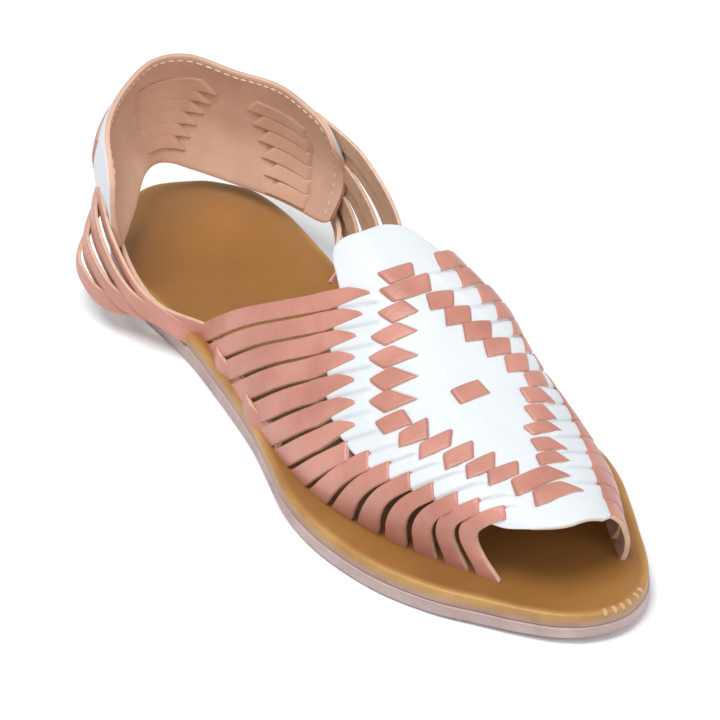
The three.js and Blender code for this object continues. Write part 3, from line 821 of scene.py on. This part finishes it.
# %% [markdown]
# ## Thongs through the counter
# Inside, six thongs a side lie on the lining between a front row and a stepped rear row, and show
# their paler flesh side. Between the two rear rows, and again on the lateral side, they run outside
# with the grain up.

# %% Counter thongs
COUNTER_THONG_HALF = 2.1 / 37  # half a width, as a share of the counter's depth
COUNTER_THONG_LIFT = 0.9


def crossing(first, last, share, face, slant):
    start, stop, low, high = np.array(first) * (1 - share) + np.array(last) * share
    near = np.array([0, 0.02, 0.05, 0.09, 0.14])
    u = np.concatenate([near, np.linspace(0.2, 0.8, 16), (1 - near)[::-1]])
    middle = low + (high - low) * u
    near_end = 1 - ease(np.minimum(u, 1 - u) / 0.08)
    lift = COUNTER_THONG_LIFT - 1.3 * near_end**1.5
    lean = slant * (1 - ease(u / 0.5))
    rows = []
    for across, fall in ((ACROSS_THE_THONG, EDGE_FALL), (BOTTOM_ACROSS, 1.3 + 0 * EDGE_FALL)):
        station = (start + (stop - start) * u)[:, None] + lean[:, None] * across
        offset = face * (COUNTER_THICKNESS / 2 + lift[:, None] - fall)
        rows.append(on_counter(station, middle[:, None] + COUNTER_THONG_HALF * across, offset))
    # Painted shade at the ends, where the thong dips into the counter, and along its long edges
    return with_painted_shade(plate(rows[0], rows[1], cut_columns=1), 0.4 * near_end, 0.25)


inside_plates, outside_plates = [], []
for share in np.linspace(0, 1, SIDE_THONGS):
    inside_plates.append(crossing(*INSIDE_MEDIAL, share, -1, 0.12))
    inside_plates.append(crossing(*INSIDE_LATERAL, share, -1, -0.15))
    outside_plates.append(crossing(*OUTSIDE_BACK, share, 1, 0.0))
    outside_plates.append(crossing(*OUTSIDE_LATERAL, share, 1, 0.0))
for name, plates, material in (
    ("counter_inner_thongs", inside_plates, thong_flesh),
    ("counter_outer_thongs", outside_plates, thong_leather),
):
    make_piece(name, plates, [material], ["heel_counter"])

# %% [markdown]
# ## Stitches, by Geometry Nodes
# A row of stitches repeats one small shape along a line, so a node tree makes it: the line is cut
# into even steps, a short thread is set on each point and turned along the line, and the instances
# are made real. The line is a curve on the lining, a little below the edge.


# %% Stitch tree
def stitch_tree(material):
    tree = bpy.data.node_groups.new("stitch_row", "GeometryNodeTree")
    tree.interface.new_socket("Geometry", in_out="INPUT", socket_type="NodeSocketGeometry")
    for name in ("Pitch", "Thread", "Length"):
        tree.interface.new_socket(name, in_out="INPUT", socket_type="NodeSocketFloat")
    tree.interface.new_socket("Geometry", in_out="OUTPUT", socket_type="NodeSocketGeometry")
    add = tree.nodes.new
    given, out = add("NodeGroupInput"), add("NodeGroupOutput")
    line, resample = add("GeometryNodeMeshToCurve"), add("GeometryNodeResampleCurve")
    resample.mode = "LENGTH"
    ball, place = add("GeometryNodeMeshUVSphere"), add("GeometryNodeInstanceOnPoints")
    ball.inputs["Segments"].default_value = 8
    ball.inputs["Rings"].default_value = 6
    ball.inputs["Radius"].default_value = 1.0
    tangent, turn = add("GeometryNodeInputTangent"), add("FunctionNodeAlignEulerToVector")
    turn.axis = "Z"
    size, real = add("ShaderNodeCombineXYZ"), add("GeometryNodeRealizeInstances")
    dress = add("GeometryNodeSetMaterial")
    dress.inputs["Material"].default_value = material
    for source, output, target, socket in (
        (given, "Geometry", line, "Mesh"),
        (line, "Curve", resample, "Curve"),
        (given, "Pitch", resample, "Length"),
        (resample, "Curve", place, "Points"),
        (ball, "Mesh", place, "Instance"),
        (tangent, "Tangent", turn, "Vector"),
        (turn, "Rotation", place, "Rotation"),
        (given, "Thread", size, "X"),
        (given, "Thread", size, "Y"),
        (given, "Length", size, "Z"),
        (size, "Vector", place, "Scale"),
        (place, "Instances", real, "Geometry"),
        (real, "Geometry", dress, "Geometry"),
        (dress, "Geometry", out, "Geometry"),
    ):
        tree.links.new(source.outputs[output], target.inputs[socket])
    return tree


def stitch_row(name, line, pitch, thread, length, material):
    guide_mesh = bpy.data.meshes.new(name + "_line")
    guide_mesh.from_pydata((line * MM).tolist(), [(i, i + 1) for i in range(len(line) - 1)], [])
    guide = bpy.data.objects.new(name + "_line", guide_mesh)
    bpy.context.scene.collection.objects.link(guide)
    tree = stitch_tree(material)
    modifier = guide.modifiers.new("stitches", "NODES")
    modifier.node_group = tree
    items = tree.interface.items_tree
    sockets = {item.name: item.identifier for item in items if item.in_out == "INPUT"}
    for socket, value in (("Pitch", pitch), ("Thread", thread / 2), ("Length", length / 2)):
        modifier[sockets[socket]] = value * MM
    evaluated = guide.evaluated_get(bpy.context.evaluated_depsgraph_get())
    mesh = bpy.data.meshes.new_from_object(evaluated)
    mesh.name = name
    guide.modifiers.remove(modifier)
    bpy.data.objects.remove(guide)
    mesh.polygons.foreach_set("use_smooth", [True] * len(mesh.polygons))
    piece = bpy.data.objects.new(name, mesh)
    bpy.context.scene.collection.objects.link(piece)
    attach(piece, "root")
    print(name, len(mesh.polygons), "faces")
    return piece


def thread_finish():
    material, tree, shader = new_material("pale_thread")
    shader.inputs["Roughness"].default_value = 0.75
    mottle = noise(tree, object_place(tree), 900, 2)
    tint = ramp(tree, mottle, [(0.3, (0.72, 0.58, 0.42)), (0.7, (0.9, 0.78, 0.62))])
    tree.links.new(tint, shader.inputs["Base Color"])
    return material


pale_thread = thread_finish()
STITCH_PITCH, STITCH_THREAD, STITCH_LENGTH = 3.0, 0.45, 2.3
STITCHES_BELOW_EDGE = 1.7
on_lining = -COUNTER_THICKNESS / 2 - 0.1
top_line = on_counter(np.linspace(-3.75, 3.72, 240), 1 - STITCHES_BELOW_EDGE / COUNTER_DEPTH, on_lining)
front_line = on_counter(np.full(60, 3.86), np.linspace(0.9, 0.1, 60), on_lining)
stitch_row(
    "lining_stitches", np.vstack([top_line, front_line]),
    STITCH_PITCH, STITCH_THREAD, STITCH_LENGTH, pale_thread,
)

# %% [markdown]
# ## Footbed and sole
# Both are cut to one outline, a closed smooth curve through the edge points. The footbed is a
# leather board with a rounded, burnished edge: a mark called from_edge tells its material how far a
# point is from the edge, and is below zero low on the wall, where the leather is left raw. A few
# small notches nick the rim at the toe. The sole is a sheet of crepe rubber with a rough cut side.

# %% Outline of the sole
SHOE_LENGTH = 250
HEEL_TIP = [4.4, SHOE_LENGTH / 2]
TOE_TIP = [5.7, -SHOE_LENGTH / 2]
# Rows from heel to toe: y, lateral x, medial x
OUTLINE = [
    [120, -9, 18.4], [115, -14.6, 24.4], [105, -21.5, 31.2], [90, -25.9, 33.4], [75, -27, 32.7],
    [60, -26.9, 31.2], [45, -27.7, 28.9], [30, -29.6, 26.7], [15, -31.8, 25.9], [0, -34.6, 26.9],
    [-15, -38.8, 29.8], [-30, -42.9, 34.4], [-45, -44.3, 40.5], [-60, -42.9, 44.3], [-75, -39.1, 42],
    [-90, -32, 35.8], [-100, -25, 30.9], [-110, -17.8, 26], [-118, -10.8, 20.4], [-123, -3.2, 13.5],
]


def outline_ring(steps):
    lateral = [[x, y] for y, x, _ in OUTLINE]
    medial = [[x, y] for y, _, x in reversed(OUTLINE)]
    around = np.array([HEEL_TIP, *lateral, TOE_TIP, *medial, HEEL_TIP], float)
    padded = np.vstack([around[-3:-1], around, around[1:3]])
    knots = chord_knots(padded)
    heel, toe, heel_again = knots[2], knots[3 + len(OUTLINE)], knots[-3]
    half = steps // 2
    there = np.linspace(heel, toe, half, endpoint=False)
    back = np.linspace(toe, heel_again, half, endpoint=False)
    return curve_through(padded, knots, np.concatenate([there, back]))


RING_STEPS = 480  # even, so that lateral and medial points face each other
edge_ring = outline_ring(RING_STEPS)
forward = np.roll(edge_ring, -1, axis=0) - np.roll(edge_ring, 1, axis=0)
forward /= np.linalg.norm(forward, axis=1, keepdims=True)
inward = np.stack([-forward[:, 1], forward[:, 0]], -1)
spine = np.stack([0.5 * (edge_ring[:, 0] + np.roll(edge_ring[::-1, 0], 1)), edge_ring[:, 1]], -1)
spine[:, 1] = np.clip(spine[:, 1] * 0.93, -114, 114)
print("outline", edge_ring.min(0), edge_ring.max(0))


# %% Heights along the shoe
HEEL_RISE, TOE_SPRING, ARCH_HOLLOW = 2.5, 2.0, 1.5
OUTSOLE_TOP = 4.3


def heel_rise(y):
    return HEEL_RISE * np.clip(1 - (SHOE_LENGTH / 2 - y) / SHOE_LENGTH / 0.55, 0, 1)


def toe_lift(y):
    return TOE_SPRING * np.clip((-72 - y) / 53, 0, 1) ** 2


def arch_lift(x, y):
    along = np.clip(1 - ((y - 22) / 48) ** 2, 0, None) ** 2
    return ARCH_HOLLOW * along * np.clip((x + 12) / 40, 0, 1)


def footbed_at(x, y):
    return FOOTBED_TOP + heel_rise(y) + 0.4 * toe_lift(y)


def outsole_top_at(x, y):
    return OUTSOLE_TOP + heel_rise(y) + 0.6 * toe_lift(y)


def underside_at(x, y):
    return toe_lift(y) + arch_lift(x, y)


def flat_piece(levels):
    """A level: kind, inset in mm or share of the way to the spine, height function, change."""
    rings, edges = [], []
    for kind, amount, height, change in levels:
        if kind == "inset":
            ring = edge_ring + inward * amount
        else:
            start = edge_ring + inward * 2.0
            ring = start + (spine - start) * amount
        rings.append(np.column_stack([ring, height(ring[:, 0], ring[:, 1]) + change]))
        edges.append(np.linalg.norm(ring - edge_ring, axis=1))
    points = np.concatenate(rings)
    count, faces = RING_STEPS, []
    for level in range(len(rings) - 1):
        for i in range(count):
            j = (i + 1) % count
            low, high = level * count, (level + 1) * count
            faces.append((low + i, low + j, high + j, high + i))
    last = (len(rings) - 1) * count
    for start, turned in ((0, False), (last, True)):
        for i in range(count // 2):
            quad = [start + i, start + (count - i) % count, start + count - i - 1, start + i + 1]
            quad = list(dict.fromkeys(quad))
            faces.append(tuple(quad if not turned else quad[::-1]))
    return {"points": points, "faces": faces, "side": np.zeros(len(points))}, np.concatenate(edges)


# %% Footbed leather
def footbed_finish():
    material, tree, shader = new_material("insole_leather")
    place, from_edge = object_place(tree), read_mark(tree, "from_edge")
    brown = ramp(
        tree,
        noise(tree, place, 14, 5, 0.55),
        [(0.3, (0.24, 0.10, 0.024)), (0.5, (0.305, 0.135, 0.032)), (0.72, (0.37, 0.175, 0.046))],
    )
    gold = ramp(tree, noise(tree, place, 70, 4), [(0.3, (0.37, 0.18, 0.045)), (0.7, (0.54, 0.30, 0.09))])
    raw = ramp(tree, noise(tree, place, 90, 4), [(0.3, (0.32, 0.19, 0.13)), (0.7, (0.44, 0.29, 0.22))])
    rimmed = blend_colours(tree, remap(tree, from_edge, 3.0, 0.9), brown, gold)
    link_chain(
        tree,
        (blend_colours(tree, remap(tree, from_edge, 0.1, -1.2), rimmed, raw), shader.inputs["Base Color"]),
        (remap(tree, noise(tree, place, 35, 4), 0, 1, 0.33, 0.52), shader.inputs["Roughness"]),
        (bump(tree, noise(tree, place, 420, 5, 0.65), 0.25, 0.3 * MM), shader.inputs["Normal"]),
    )
    return material


insole_leather = footbed_finish()
insole_levels = [
    ("inset", 1.2, outsole_top_at, 0.3), ("inset", 0.4, outsole_top_at, 0.35),
    ("inset", 0.4, footbed_at, -1.0), ("inset", 0.5, footbed_at, -0.6),
    ("inset", 0.8, footbed_at, -0.28), ("inset", 1.2, footbed_at, -0.1),
    ("inset", 1.7, footbed_at, 0), ("inset", 2.4, footbed_at, 0),
]
insole_levels += [("share", share, footbed_at, 0) for share in (0.08, 0.16, 0.3, 0.5, 0.7, 0.9)]
insole_plate, from_edge = flat_piece(insole_levels)
RAW_MARK = -1.6
from_edge[: 2 * RING_STEPS] = RAW_MARK
make_piece(
    "footbed", [insole_plate], [insole_leather], ["insole"], {"from_edge": from_edge}
)

# %% Notches in the rim at the toe
NOTCH_PLACES = [[1, -124.5], [3.9, -125], [6.8, -125], [9.6, -124], [12.2, -122.5], [14.6, -120.6]]
NOTCH_REACH = [-0.75, -0.35, 0, 0.5, 1.0]
NOTCH_DROP = [-0.85, -0.33, -0.12, 0.02, 0.03]
notch_plates = []
for place in np.array(NOTCH_PLACES):
    step = np.argmin(np.linalg.norm(edge_ring - place, axis=1))
    middle, along = edge_ring[step] + inward[step] * 0.95, forward[step]
    reach, breadth = np.meshgrid(NOTCH_REACH, [-0.5, 0, 0.5], indexing="ij")
    spot = middle + inward[step] * reach[..., None] + along * breadth[..., None]
    drop = np.interp(reach, NOTCH_REACH, NOTCH_DROP)
    level = footbed_at(spot[..., 0], spot[..., 1]) + drop
    top = np.concatenate([spot, level[..., None] + 0.03], -1)
    notch_plates.append(plate(top, top - [0, 0, 0.25], top_side=1.0))
make_piece("rim_notches", notch_plates, [lining_leather])


# %% Crepe rubber sole
def crepe_finish():
    material, tree, shader = new_material("crepe_rubber")
    shader.inputs["Roughness"].default_value = 0.82
    place = object_place(tree)
    tint = ramp(
        tree,
        noise(tree, place, 60, 5, 0.6),
        [(0.3, (0.40, 0.285, 0.265)), (0.5, (0.50, 0.375, 0.35)), (0.75, (0.60, 0.47, 0.44))],
    )
    crumb = bump(tree, noise(tree, place, 380, 5, 0.7), 0.6, 0.6 * MM)
    link_chain(tree, (tint, shader.inputs["Base Color"]), (crumb, shader.inputs["Normal"]))
    return material


crepe_rubber = crepe_finish()
sole_levels = [
    ("inset", 4.0, underside_at, 0), ("inset", 1.0, underside_at, 0), ("inset", 0.4, underside_at, 0.15),
    ("inset", 0.05, underside_at, 0.6), ("inset", 0.0, underside_at, 1.2),
    ("inset", 0.15, outsole_top_at, -0.9), ("inset", 0.0, outsole_top_at, -0.3),
    ("inset", 0.3, outsole_top_at, 0), ("inset", 3.0, outsole_top_at, 0),
]
sole_plate, _ = flat_piece(sole_levels)
make_piece("crepe_sole", [sole_plate], [crepe_rubber], ["outsole"])

# %% [markdown]
# ## Floor, lights and camera
# A pale floor, a large soft light overhead, a weaker one in front, and a bright even world. The
# camera stands high at the lateral front of the shoe, with a long lens.


# %% Floor
def floor_finish():
    material, _, shader = new_material("pale_floor")
    shader.inputs["Base Color"].default_value = (0.96, 0.965, 0.975, 1)
    shader.inputs["Roughness"].default_value = 0.8
    shader.inputs["Specular IOR Level"].default_value = 0.1
    return material


floor_mesh = bpy.data.meshes.new("floor")
FLOOR_REACH, FLOOR_DROP = 4, 0.3 * MM
corners = [(x * FLOOR_REACH, y * FLOOR_REACH, -FLOOR_DROP) for x, y in ((-1, -1), (1, -1), (1, 1), (-1, 1))]
floor_mesh.from_pydata(corners, [], [(0, 1, 2, 3)])
floor_mesh.materials.append(floor_finish())
floor = bpy.data.objects.new("floor", floor_mesh)
bpy.context.scene.collection.objects.link(floor)


# %% Lights
def soft_light(name, place, size, power):
    """An area light aimed at the middle of the sole."""
    data = bpy.data.lights.new(name, "AREA")
    data.size = size
    data.energy = power
    lamp = bpy.data.objects.new(name, data)
    bpy.context.scene.collection.objects.link(lamp)
    lamp.location = place
    lamp.rotation_euler = Vector(-np.array(place)).to_track_quat("-Z", "Y").to_euler()


soft_light("key_light", (-0.6, -0.1, 2.0), 1.1, 33)
soft_light("fill_light", (0.2, -1.7, 1.2), 1.0, 10)
world = bpy.data.worlds.new("bright_room")
world.use_nodes = True
background = world.node_tree.nodes["Background"]
background.inputs["Color"].default_value = (0.93, 0.96, 1.0, 1)
background.inputs["Strength"].default_value = 0.5
bpy.context.scene.world = world
bpy.context.scene.view_settings.view_transform = "Standard"

# %% Camera
camera_data = bpy.data.cameras.new("camera")
camera_data.sensor_width = 36
camera_data.lens = 182
camera = bpy.data.objects.new("camera", camera_data)
bpy.context.scene.collection.objects.link(camera)
CAMERA_PLACE = np.array([-469.8, -724.5, 636.7]) * MM
CAMERA_AIM = np.array([0.0, -4.0, 22.0]) * MM
camera.location = CAMERA_PLACE
camera.rotation_euler = Vector(CAMERA_AIM - CAMERA_PLACE).to_track_quat("-Z", "Y").to_euler()
bpy.context.scene.camera = camera
